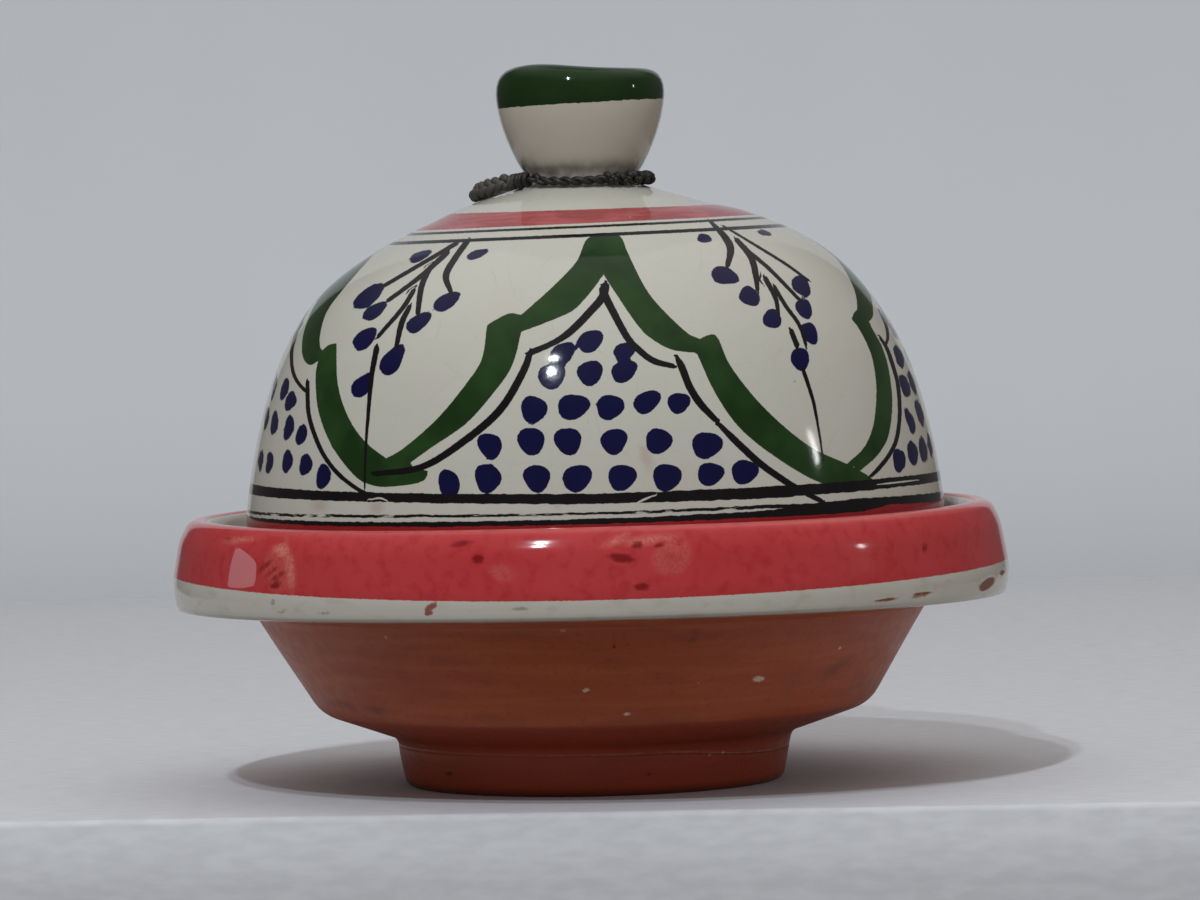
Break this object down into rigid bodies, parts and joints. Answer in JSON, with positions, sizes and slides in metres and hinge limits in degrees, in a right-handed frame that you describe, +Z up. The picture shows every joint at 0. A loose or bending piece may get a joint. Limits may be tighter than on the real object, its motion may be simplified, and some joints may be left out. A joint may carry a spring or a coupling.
{
  "type": "tagine",
  "caption": "Small glazed earthenware tagine: a footed dish with a wide flange, a domed painted lid with a cup-shaped knob that lifts off, and a cord tied round the knob's neck.",
  "frame": {"origin": "centre of the foot ring, on the surface that the dish stands on", "axes": "+Z up along the axis of the dish and lid, -Y towards the pictured front, +X to its right"},
  "size_m": [0.1802, 0.1802, 0.1532],
  "materials": {
    "dish_earthenware": "bare terracotta bowl with a soft sheen, red and white gloss glaze on the flange",
    "lid_glaze": "gloss off-white glaze with painted green, black, blue and red decoration",
    "cord_fibre": "dark grey plaited cord, slightly waxy"
  },
  "bodies": {
    "dish": {"dish": "dish_earthenware"},
    "lid": {"lid": "lid_glaze"},
    "cord": {"cord_front_run": "cord_fibre", "cord_back_run": "cord_fibre", "cord_knot": "cord_fibre", "cord_tail": "cord_fibre", "cord_wrap": "cord_fibre"}
  },
  "joints": [
    {"name": "lid_lift", "type": "slide", "parent": "dish", "child": "lid", "axis": [0, 0, 1], "range_m": [0, 0.11]},
    {"name": "cord_turn", "type": "hinge", "parent": "lid", "child": "cord", "pos_m": [0, 0, 0.1296], "axis": [0, 0, 1], "continuous": true}
  ]
}
